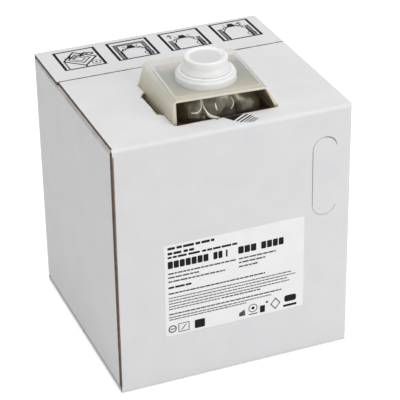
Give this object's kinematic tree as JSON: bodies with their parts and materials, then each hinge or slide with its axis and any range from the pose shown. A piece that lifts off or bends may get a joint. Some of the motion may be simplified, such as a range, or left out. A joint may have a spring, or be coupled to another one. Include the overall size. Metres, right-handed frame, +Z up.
{
  "type": "bag-in-box liquid container",
  "caption": "White board carton around a filled film bag, with the bag's screw-capped spout held by a bent plastic bracket above a torn-open hatch in the top.",
  "frame": {"origin": "middle of the carton's base, on the surface that it stands on", "axes": "+Z up; +X to the right along the front panel, which carries the label; +Y from the front panel to the back"},
  "size_m": [0.226, 0.2202, 0.2914],
  "materials": {
    "board": "white matt liner, brown corrugated cut edges",
    "label_paper": null,
    "metallised_film": "dull silver film, creased",
    "bracket_plastic": "milky translucent",
    "spout_plastic": "milky translucent, satin",
    "cap_plastic": "white, satin",
    "seal_foam": "white foam disc",
    "print_ink": "black flexographic ink"
  },
  "bodies": {
    "container": {"carton": "board", "label": "label_paper", "liquid_bag": "metallised_film", "spout_bracket": "bracket_plastic", "spout": "spout_plastic"},
    "cap_seal": {"cap_seal": "seal_foam"},
    "cap": {"cap": "cap_plastic"}
  },
  "joints": [
    {"name": "cap_lift", "type": "slide", "parent": "container", "child": "cap_seal", "axis": [0, 0, 1], "range_m": [0, 0.01]},
    {"name": "cap_turn", "type": "hinge", "parent": "cap_seal", "child": "cap", "pos_m": [-0.0014, -0.047, 0.27], "axis": [0, 0, 1], "range_deg": [0, 900]}
  ],
  "couplings": [
    {"joint": "cap_lift", "follows": "cap_turn", "m_per_rad": 0.00063662}
  ]
}
